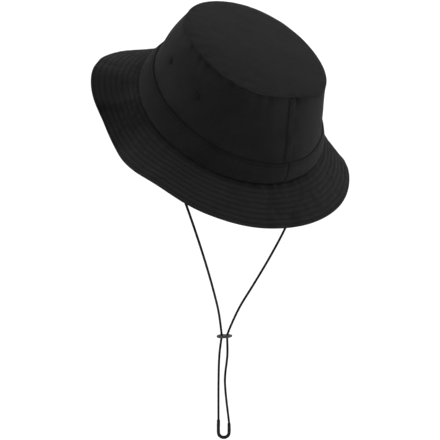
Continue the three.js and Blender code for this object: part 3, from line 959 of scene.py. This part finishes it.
def seam_strip(where, middle):
    """The lapped seam down the back or front of the crown."""
    across = np.linspace(STRIP_HALF, -STRIP_HALF, STRIP_GRID[0])
    ups = np.linspace(BAND_TOP["up"] + 0.4 * MM, CROWN_TOP["up"] - 0.6 * MM, STRIP_GRID[1])
    spread, up = grid_of(across, ups)
    outer = strip_face(middle, spread, up)
    angle = strip_angle(middle, spread, up)
    inner = wall(angle, up, crown_relief(angle, up) + GAP / 2)
    # Painted shade: the strip darkens towards its edges.
    tone = PART_TONE["strip"] - 0.15 * (np.abs(spread) / STRIP_HALF) ** 8
    strip = shell(f"seam_{where}_cloth", outer, inner, False, across, ups, tone)
    return dress(strip, SHELL, "shell_cloth", "hat", f"seam_strip_{where}")


# ---- inside the crown ----
def sweatband_ease(angle, up):
    """How far the sweatband's free top edge stands in from the wall."""
    free = clipped((up - 8 * MM) / (20 * MM))
    return (0.5 + ripple("sweatband edge", angle, up)) * 1.6 * MM * free


def sweatband_face(angle, up, lift=0.0):
    """Inner face of the sweatband, whose free top edge ripples, lifted towards the head."""
    row = 0.25 * MM * hump(up, SWEATBAND_ROW, ROW_WIDTH)
    pucker = ripple("sweatband", angle, up) * MM
    under = wall_sag(angle, up) - SIDE_PLY - GAP - sweatband_ease(angle, up)
    return wall(angle, up, under - SWEATBAND_PLY + row + pucker - lift)


def lining_ring(name, face, ease, ups, *dressing):
    """A lining all round the inside, from its inner face to the wall that it lies on."""
    angles = np.linspace(360, 0, LINING_COLUMNS, endpoint=False)
    angle, up = grid_of(angles, ups)
    outer = wall(angle, up, wall_sag(angle, up) - SIDE_PLY - GAP - ease(angle, up))
    turn = np.append(np.radians(angles), 0) * WALL_ROUND
    piece = shell(name, face(angle, up)[::-1], outer[::-1], True, turn, ups)
    return dress(piece, *dressing)


def sweatband():
    ups = np.linspace(SWEATBAND_LOW, SWEATBAND_HEIGHT, SWEATBAND_STEPS)
    return lining_ring("sweatband_cloth", sweatband_face, sweatband_ease, ups,
                       LINING, "lining_cloth", "hat", "sweatband")


def tape_face(angle, up):
    """Inner face of the bias tape over the top seam."""
    pucker = ripple("tape", angle, up) * MM
    row = 0.2 * MM * row_humps(up, (TAPE_LOW + TAPE_ROW, TAPE_HIGH - TAPE_ROW), 0.6 * MM)
    return wall(angle, up, wall_sag(angle, up) - SIDE_PLY - GAP - TAPE_PLY + pucker + row)


def top_seam_tape():
    ups = np.linspace(TAPE_LOW, TAPE_HIGH, TAPE_STEPS)
    return lining_ring("seam_tape_cloth", tape_face, lambda angle, up: 0.0, ups,
                       TAPE, "seam_tape", "hat", "top_seam_tape")


def label_face(angle, up):
    """Inner face of the label."""
    puff = ripple("label", angle, up) * MM
    return sweatband_face(angle, up, GAP + LABEL_PLY + puff)


def size_label():
    """A blank woven label on the sweatband."""
    half = math.degrees(LABEL["width"] / 2 / OPENING["across"])
    angles = np.linspace(-half, half, LABEL_GRID[0])
    ups = np.linspace(LABEL["low"], LABEL["low"] + LABEL["height"], LABEL_GRID[1])
    angle, up = grid_of(angles, ups)
    back = sweatband_face(angle, up, GAP / 2)
    along = np.radians(angles) * OPENING["across"]
    label = shell("label_cloth", label_face(angle, up), back, False, along, ups)
    return dress(label, LABEL_CLOTH, "label_cloth", "hat", "size_label")


def tab_face(middle, across, up):
    """Inner face of a cord tab."""
    angle = middle + np.degrees(across / OPENING["across"])
    share = np.abs(across) / (TAB["width"] / 2)
    swell = TAB_SWELL * (1 - share**4)
    return sweatband_face(angle, up, GAP + TAB["ply"] - TAB_SWELL + swell)


def cord_tab(name, middle, node):
    """The folded tape tab that holds one end of the chin cord inside the opening."""
    across = np.linspace(-TAB["width"] / 2, TAB["width"] / 2, TAB_GRID[0])
    ups = np.linspace(TAB["low"], TAB["high"], TAB_GRID[1])
    spread, up = grid_of(across, ups)
    angle = middle + np.degrees(spread / OPENING["across"])
    back = sweatband_face(angle, up, GAP / 2)
    tab = shell(name, tab_face(middle, spread, up), back, False, across, ups)
    return dress(tab, TAPE, "seam_tape", "hat", node)


# ---- brim ----
def brim_tone(angle, out, side):
    """Tone of the brim: painted shade below the left fold and in the seam at the crown, a painted highlight
    along the fold's ridge, and paler on raised cloth and at the edge.
    """
    beyond = np.maximum(out, 0)
    fold_at = BRIM_FOLD[0] + (BRIM_FOLD[1] - BRIM_FOLD[0]) * beyond / BRIM_WIDTH
    # Painted shade below the left fold, where the brim dips away from the light.
    folded = clipped((fold_at - angle) / 4) * hump(np.maximum(BRIM_FOLD_END - angle, 0), 0, 9)
    # Painted highlight along the fold's ridge.
    ridge_painted_light = hump(angle - fold_at, 2, 4)
    # Painted shade in the seam where the brim meets the band.
    seam = hump(beyond, 0, 2.8 * MM)
    edge = past_roll(out, brim_width(angle))
    relief = brim_relief(angle, out, side) / MM
    return PART_TONE["brim"] - 1.1 * folded + 0.15 * ridge_painted_light - 0.8 * seam + 0.4 * relief + 0.2 * edge


def brim_cloth(node, side):
    """The upper (side 0) or under (side 1) brim cloth, turned in at the edge."""
    angles = np.linspace(360, 0, BRIM_COLUMNS[side], endpoint=False)
    rolled = np.sin(np.linspace(math.pi / 2, 0, 8))[:, None] * BRIM_ROLL
    width = brim_width(angles)[None]
    straight = np.linspace(1, 0, BRIM_STEPS[side])[1:, None] * (width - BRIM_ROLL)
    tuck = 0 * width - np.array([[0.8], [1.6], [BRIM_TUCK / MM]]) * MM
    out = np.concatenate([width - BRIM_ROLL + rolled, straight, tuck]).T
    angle = angles[:, None] + 0 * out
    outer = brim_face(angle, out, side)
    past = past_roll(out, width.T)
    drop = BRIM_PLY + (BRIM_ROLL - BRIM_PLY) * round_drop(past)
    lower = drop if side == 0 else BRIM_THICK - drop
    tucked = out - BRIM_PLY * past
    inner = brim_place(angle, tucked, lower - brim_sway(angle, out))
    tone = brim_tone(angle, out, side)
    across = np.linspace(0, BRIM_WIDTH, out.shape[1])
    around = np.append(np.radians(angles), 0) * BRIM_ROUND
    cloth = shell(f"{node}_cloth", outer, inner, True, around, across, tone)
    return dress(cloth, SHELL, "shell_cloth", "hat", node)


def interlining():
    """The stiffener between the two brim cloths."""
    angles = np.linspace(360, 0, INTERLINING_GRID[0], endpoint=False)
    share = np.linspace(0.9, 0, INTERLINING_GRID[1])
    out = share[None] * brim_width(angles)[:, None]
    angle = angles[:, None] + 0 * out
    sway = brim_sway(angle, out)
    upper = brim_place(angle, out, BRIM_PLY + GAP - sway)
    under = brim_place(angle, out, BRIM_THICK - BRIM_PLY - GAP - sway)
    around = np.append(np.radians(angles), 0) * BRIM_ROUND
    sheet = shell("interlining_cloth", upper, under, True, around, share * BRIM_WIDTH)
    return dress(sheet, LINING, "lining_cloth", "hat", "brim_interlining")


# ---- eyelets ----
def eyelet(name, angle, node):
    """An embroidered eyelet: satin stitches side by side over a padded ring."""
    middle, outward, above, beside = eyelet_frame(angle)
    rng = np.random.default_rng(int(angle * 10))
    arch = np.linspace(0, math.pi, 9)
    around = full_turn(6)
    half = (EYELET["outer"] - EYELET["hole"]) / 2
    verts, faces = [], []
    turns = full_turn(EYELET["threads"])
    core = [(half * 0.82, 2 * math.pi * k / 10) for k in range(10)]
    for turn in turns:
        radial = above * math.cos(turn) + beside * math.sin(turn)
        tangent = np.cross(outward, radial)
        reach = half * (1 + rng.uniform(-0.08, 0.1))
        spine = [middle + radial * (EYELET["hole"] + half - math.cos(a) * reach)
                 + outward * (math.sin(a) * EYELET["rise"] - EYELET["sink"]) for a in arch]
        spine = np.array(spine)
        square = np.cross(unit(np.gradient(spine, axis=0)), tangent)
        thick = EYELET["thread"] * (0.75 + 0.25 * np.sin(arch))
        circle = turned(around, tangent, square[:, None])
        start = len(verts) * len(arch) * len(around)
        verts.append(spine[:, None] + circle * thick[:, None, None])
        grid = np.arange(len(arch) * len(around)).reshape(len(arch), len(around))
        faces += (start + quads(np.hstack([grid, grid[:, :1]]))).tolist()
        faces += [(start + grid[0]).tolist(), (start + grid[-1]).tolist()]
    start = len(verts) * len(arch) * len(around)
    spots = []
    for turn in turns:
        radial = above * math.cos(turn) + beside * math.sin(turn)
        for radius, at in core:
            lift = EYELET["rise"] * 0.6 * math.sin(at) - EYELET["sink"] * 1.4
            spots.append(middle + radial * (EYELET["hole"] + half + radius * math.cos(at)) + outward * lift)
    grid = np.arange(len(spots)).reshape(len(turns), len(core))
    grid = np.hstack([grid, grid[:, :1]])
    faces += (start + quads(np.vstack([grid, grid[:1]]))).tolist()
    points = np.vstack([np.concatenate(verts).reshape(-1, 3), spots])
    ring_piece = new_object(name, tipped(points), faces)
    return dress(ring_piece, THREAD, "thread", "hat", node)


# ---- stitch rows ----
def row_along(surface, angles, level, away):
    """Points and outward normals of a stitch row on a surface, along its first direction."""
    level = level + 0 * angles
    return surface(angles, level), facing(surface, angles, level, 0.05, 0.3 * MM, away)


def outward_at(angles):
    return ring(OPENING, angles)[1]


def brim_stitches(name, side):
    """Concentric rows through the whole brim, seen on one of its faces."""
    width = brim_width(ROW_ANGLES)
    away = np.array([0, 0, 1.0]) if side == 0 else np.array([0, 0, -1.0])
    rows = []
    for row in brim_rows(width):
        rows.append(row_along(lambda a, out: brim_face(a, out, side), ROW_ANGLES, row, away))
    threads = stitches(name, rows)
    return dress(threads, THREAD, "thread", "hat")


def crown_stitches():
    """Rows on the outside of the crown: top seam, hat band and the two lapped seams."""
    away = outward_at(ROW_ANGLES)
    rows = [
        row_along(crown_face, ROW_ANGLES, CROWN_TOP["up"] - TOP_ROW_INSET, away),
        row_along(band_face, ROW_ANGLES, BAND_TOP["up"] - BAND_ROW_INSET, away),
    ]
    ups = np.linspace(BAND_TOP["up"] + 1.0 * MM, CROWN_TOP["up"] - 1.2 * MM, 200)
    for middle in (0, 180):
        for across in (-STRIP_ROW, STRIP_ROW):
            def lap(up, spread, middle=middle):
                return strip_face(middle, spread, up)
            level = across + 0 * ups
            normal = facing(lap, ups, level, 0.3 * MM, 0.3 * MM, outward_at(middle + 0 * ups))
            rows.append((lap(ups, level), normal))
    threads = stitches("crown_threads", rows)
    return dress(threads, THREAD, "thread", "hat")


def inside_stitches():
    """Rows on the inside: sweatband, seam tape, the label's border and the cord tabs."""
    away = -outward_at(ROW_ANGLES)
    rows = [
        row_along(sweatband_face, ROW_ANGLES, SWEATBAND_ROW, away),
        row_along(tape_face, ROW_ANGLES, TAPE_LOW + TAPE_ROW, away),
        row_along(tape_face, ROW_ANGLES, TAPE_HIGH - TAPE_ROW, away),
    ]
    half = math.degrees((LABEL["width"] / 2 - LABEL_INSET) / OPENING["across"])
    short = np.linspace(-half, half, 60)
    for up in (LABEL["low"] + LABEL_INSET, LABEL["low"] + LABEL["height"] - LABEL_INSET):
        rows.append(row_along(label_face, short, up, -outward_at(short)))
    threads = stitches("inside_threads", rows)
    return dress(threads, THREAD, "thread", "hat")


def bar_tacks():
    """Dense zigzag stitches across each cord tab."""
    rows = []
    for middle in (TAB["angle"], 360 - TAB["angle"]):
        for up in TACK["ups"]:
            across = np.linspace(-TACK["half"], TACK["half"], TACK["turns"])
            level = up + TACK["zigzag"] * np.where(np.arange(TACK["turns"]) % 2, 1, -1)
            rows.append((tab_face(middle, across, level), -outward_at(middle + 0 * across)))
    threads = stitches("bar_tack_threads", rows, TACK["pitch"], TACK["length"])
    return dress(threads, THREAD, "thread", "hat")


# ---- chin cord ----
def smooth_line(points, step=1.0 * MM):
    """An even line through points, rounded as a soft cord bends."""
    points = np.asarray(points, float)
    ends = np.vstack([2 * points[0] - points[1], points, 2 * points[-1] - points[-2]])
    gaps = np.linalg.norm(np.diff(ends, axis=0), axis=1) ** 0.5
    share = np.linspace(0, 1, 24, endpoint=False)[:, None]
    pieces = []
    for k in range(1, len(ends) - 2):
        before, here, after = gaps[k - 1], gaps[k], gaps[k + 1]
        first = ((ends[k] - ends[k - 1]) / before - (ends[k + 1] - ends[k - 1]) / (before + here)
                 + (ends[k + 1] - ends[k]) / here) * here
        second = ((ends[k + 1] - ends[k]) / here - (ends[k + 2] - ends[k]) / (here + after)
                  + (ends[k + 2] - ends[k + 1]) / after) * here
        pieces.append(hermite(share, ends[k], first, ends[k + 1], second))
    line = np.vstack(pieces + [points[-1:]])
    length = walked(line)[-1]
    return points_at(np.linspace(0, length, max(int(length / step), 8) + 1), line)


def tab_edge(sign, below):
    """A point below the middle of a tab's lower edge."""
    angle = TAB["angle"] if sign > 0 else 360 - TAB["angle"]
    point = wall(np.asarray(angle), TAB["low"], -TAB_INWARD) - np.array([0, 0, below])
    return tipped(point)


def cord_plane(aside, up):
    """A point in the upright plane that holds the slide and the end tube."""
    return np.array([aside * math.cos(CORD_TURN), LOCK["back"] + aside * math.sin(CORD_TURN), up])


def lock_hole(sign, up=0.0):
    return cord_plane(sign * LOCK["spread"], LOCK["up"] + up)


def upper_line(sign):
    """From inside a tab, out under the brim and down to the slide."""
    lead = tab_edge(sign, GAP + LEAD)
    bow = np.array([sign * BOW_POINT[0], *BOW_POINT[1:]])
    gather = cord_plane(sign * GATHER_POINT["aside"], GATHER_POINT["up"])
    end = lock_hole(sign, LOCK["thick"] / 2 + GAP)
    t = np.linspace(0, 1, 200)[:, None]
    hang = (1 - t) ** 3 * lead + 3 * (1 - t) ** 2 * t * bow + 3 * (1 - t) * t**2 * gather + t**3 * end
    knots = points_at(np.linspace(0, walked(hang)[-1], CORD_KNOTS), hang)
    return smooth_line([tab_edge(sign, -1.0 * MM), *knots, lock_hole(sign, 0.05 * MM)])


def lower_line(sign):
    """From the slide down into one leg of the end tube."""
    side = "left" if sign > 0 else "right"
    leg = TUBE["middle"] + sign * TUBE["bend"]
    knots = [cord_plane(knot[side], LOCK["up"] - knot["drop"]) for knot in SWAY]
    mouth = [cord_plane(leg, TUBE[side]), cord_plane(leg, TUBE[side] - TUBE_MOUTH + 0.4 * MM)]
    return smooth_line([lock_hole(sign, -0.05 * MM), *knots, *mouth])


def strand(name, line, node):
    """A braided strand with rounded ends along its line."""
    reach = walked(line)[-1]
    count = int(reach / (1.2 * MM))
    rings = [(0, CORD_RADIUS * 0.55)]
    rings += [(at, CORD_RADIUS) for at in np.linspace(0.4 * MM, reach - 0.4 * MM, count)]
    rings += [(reach, CORD_RADIUS * 0.55)]
    piece = tube(name, line, rings)
    return dress(piece, CORD, "cord", None, node)


def end_tube():
    """The shrunk tube that joins both strand ends, with hollow mouths."""
    left, right = TUBE["middle"] + TUBE["bend"], TUBE["middle"] - TUBE["bend"]
    turn = np.linspace(0, math.pi, 9)
    arc = [(TUBE["middle"] + TUBE["bend"] * math.cos(a), TUBE["bend_up"] - TUBE["bend"] * math.sin(a))
           for a in turn]
    flat = [(left, TUBE["left"]), *arc, (right, TUBE["right"])]
    line = smooth_line([cord_plane(aside, up) for aside, up in flat], 0.4 * MM)
    reach = walked(line)[-1]
    radius = TUBE["radius"]
    mouth = [(TUBE_MOUTH, 0.72), (0.15 * MM, 0.73), (0.0, 0.77), (0.0, 0.9), (0.3 * MM, 0.96),
             (1.6 * MM, 0.98), (3.5 * MM, 0.99), (5.5 * MM, 1.0)]
    rings = [(at, radius * share) for at, share in mouth]
    ripples = np.linspace(6.2 * MM, reach - 6.2 * MM, 60)
    rings += [(at, radius * (1 + 0.025 * math.sin(at / (0.9 * MM)))) for at in ripples]
    rings += [(reach - at, radius * share) for at, share in reversed(mouth)]
    piece = tube("end_tube", line, rings, 24)
    return dress(piece, RUBBER, "end_tube", "chin_cord", "cord_end_tube")


def slide_disc():
    """A bent leather disc with one hole for each strand."""
    radius, half = LOCK["radius"], LOCK["thick"] / 2
    edge = np.linspace(math.pi / 2, -math.pi / 2, 7)
    profile = [(radius * k / 16, half) for k in range(1, 15)]
    profile += [(radius - 0.7 * MM + 0.7 * MM * math.cos(a), half * math.sin(a)) for a in edge]
    profile += [(radius * k / 16, -half) for k in range(14, 0, -1)]
    around = 96
    rings = [[(r * math.cos(a), r * math.sin(a), z) for a in full_turn(around)] for r, z in profile]
    verts = np.vstack([np.array(rings).reshape(-1, 3), [(0, 0, half), (0, 0, -half)]])
    grid = np.arange(len(profile) * around).reshape(len(profile), around)
    grid = np.hstack([grid, grid[:, :1]])
    faces = quads(grid).tolist()
    top, bottom = len(verts) - 2, len(verts) - 1
    faces += [[top, a, b] for a, b in zip(grid[0, :-1], grid[0, 1:])]
    faces += [[bottom, b, a] for a, b in zip(grid[-1, :-1], grid[-1, 1:])]
    disc = new_object("leather_slide", verts, faces)
    for sign in (1, -1):
        drill(disc, (sign * LOCK["spread"], 0, 0), CORD_RADIUS + 0.1 * MM, 4 * LOCK["thick"])
    mesh = disc.data
    points = np.array([v.co for v in mesh.vertices])
    far = np.hypot(points[:, 0], points[:, 1]) / radius
    points[:, 2] *= SLIDE_MIDDLE - (SLIDE_MIDDLE - SLIDE_RIM) * far**2
    points[:, 2] += SLIDE_BEND * (far**2 * 0.4 - points[:, 0] / radius * 0.35)
    points[:, 2] += 0.25 * MM * noise(points * (1, 1, 0), 5 * MM, 40)
    points[:, 2] += points[:, 1] * math.tan(SLIDE_LEAN)
    turn = np.array([[math.cos(CORD_TURN), -math.sin(CORD_TURN)], [math.sin(CORD_TURN), math.cos(CORD_TURN)]])
    points[:, :2] = points[:, :2] @ turn.T
    mesh.vertices.foreach_set("co", (points + lock_hole(0)).ravel())
    mesh.update()
    return dress(disc, LEATHER, "slide_leather", "cord_slide", "cord_lock")


def drill(obj, place, radius, depth):
    """Cuts an upright round hole through obj."""
    rings = [[(radius * math.cos(a) + place[0], radius * math.sin(a) + place[1], up)
              for a in full_turn(HOLE_SIDES)] for up in (-depth / 2, depth / 2)]
    grid = np.arange(2 * HOLE_SIDES).reshape(2, HOLE_SIDES)
    faces = quads(np.hstack([grid, grid[:, :1]])).tolist()
    faces += [grid[0, ::-1].tolist(), grid[1].tolist()]
    cutter = new_object("cutter", np.array(rings), faces)
    step = obj.modifiers.new("hole", "BOOLEAN")
    step.operation = "DIFFERENCE"
    step.solver = "EXACT"
    step.object = cutter
    bpy.context.view_layer.update()
    solid = obj.evaluated_get(bpy.context.evaluated_depsgraph_get())
    mesh = bpy.data.meshes.new_from_object(solid)
    obj.modifiers.clear()
    obj.data = mesh
    bpy.data.objects.remove(cutter)


def chin_cord():
    """Both strands above and below the slide, their tabs, the slide and the end tube."""
    slide = slide_disc()
    tube_piece = end_tube()
    for side, sign in (("left", 1), ("right", -1)):
        tab = cord_tab(f"cord_tab_{side}_tape", sign * TAB["angle"], f"cord_tab_{side}")
        line = upper_line(sign)
        piece = strand(f"upper_strand_{side}", line, f"cord_upper_{side}")
        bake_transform(piece)
        tab_edge(sign, 0)
        line = lower_line(sign)
        piece = strand(f"lower_strand_{side}", line, f"cord_lower_{side}")
        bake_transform(piece)


# ---- view, light and floor ----
def camera():
    data = bpy.data.cameras.new("camera")
    data.lens = LENS
    data.sensor_width = 36
    data.clip_end = 200
    obj = bpy.data.objects.new("camera", data)
    obj.location = CAMERA_PLACE
    obj.rotation_euler = (CAMERA_AIM - CAMERA_PLACE).to_track_quat("-Z", "Y").to_euler()
    bpy.context.scene.collection.objects.link(obj)
    bpy.context.scene.camera = obj


def sun():
    """Soft light from one direction."""
    data = bpy.data.lights.new("key", "SUN")
    data.energy = SUN["strength"]
    data.angle = math.radians(SUN["angle"])
    obj = bpy.data.objects.new("key", data)
    obj.rotation_euler = Vector(SUN["toward"]).to_track_quat("Z", "Y").to_euler()
    bpy.context.scene.collection.objects.link(obj)


def surroundings():
    """White room light and a wide pale floor."""
    world = bpy.data.worlds.new("room")
    world.use_nodes = True
    back = world.node_tree.nodes["Background"]
    back.inputs["Color"].default_value = (1, 1, 1, 1)
    back.inputs["Strength"].default_value = ROOM_LIGHT
    bpy.context.scene.world = world
    mesh = bpy.data.meshes.new("floor")
    corners = [(-FLOOR_HALF, -FLOOR_HALF), (FLOOR_HALF, -FLOOR_HALF), (FLOOR_HALF, FLOOR_HALF),
               (-FLOOR_HALF, FLOOR_HALF)]
    mesh.from_pydata([(x, y, FLOOR_UP) for x, y in corners], [], [(0, 1, 2, 3)])
    mesh.materials.append(floor_paint("floor_paint"))
    floor = bpy.data.objects.new("floor", mesh)
    bpy.context.scene.collection.objects.link(floor)
    bpy.context.scene.view_settings.view_transform = "Standard"


# ---- the hat ----
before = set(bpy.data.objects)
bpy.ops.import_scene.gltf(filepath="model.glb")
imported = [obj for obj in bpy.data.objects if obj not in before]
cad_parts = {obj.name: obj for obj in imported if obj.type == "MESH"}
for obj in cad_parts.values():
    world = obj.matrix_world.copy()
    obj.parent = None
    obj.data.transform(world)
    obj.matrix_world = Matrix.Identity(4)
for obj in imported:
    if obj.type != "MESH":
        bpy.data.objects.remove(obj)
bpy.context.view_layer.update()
camera()
SHELL = twill("shell_cloth", 0.0018, 0.0104)
LINING = plain_weave("lining_cloth", 0.006, 0.018)
TAPE = plain_weave("tape_cloth", 0.005, 0.015, 0.7 * MM)
THREAD = thread_paint("thread", 0.0005, 0.0025)
CORD = braid("cord_braid", 0.001, 0.005)
LEATHER = leather("slide_leather", 0.016, 0.05)
RUBBER = rubber("end_tube", 0.001, 0.005)
LABEL_CLOTH = plain_weave("label_cloth", 0.35, 0.6, 0.4 * MM)
chin_cord()
for half_name, half_start in (("left", 0), ("right", 180)):
    crown_side(f"crown_side_{half_name}", half_start)
top_panel()
for half_name, half_start in (("left", 0), ("right", 180)):
    hat_band(f"hat_band_{half_name}", half_start)
for seam_name, seam_angle in (("back", 0), ("front", 180)):
    seam_strip(seam_name, seam_angle)
sweatband()
top_seam_tape()
size_label()
for face_name, face_side in (("upper", 0), ("under", 1)):
    brim_cloth(f"brim_{face_name}", face_side)
interlining()
for eyelet_name, eyelet_angle in EYELETS.items():
    eyelet(eyelet_name + "_satin", eyelet_angle, eyelet_name)
for face_name, face_side in (("upper", 0), ("under", 1)):
    brim_stitches(f"brim_threads_{face_name}", face_side)
crown_stitches()
inside_stitches()
bar_tacks()
surroundings()
sun()
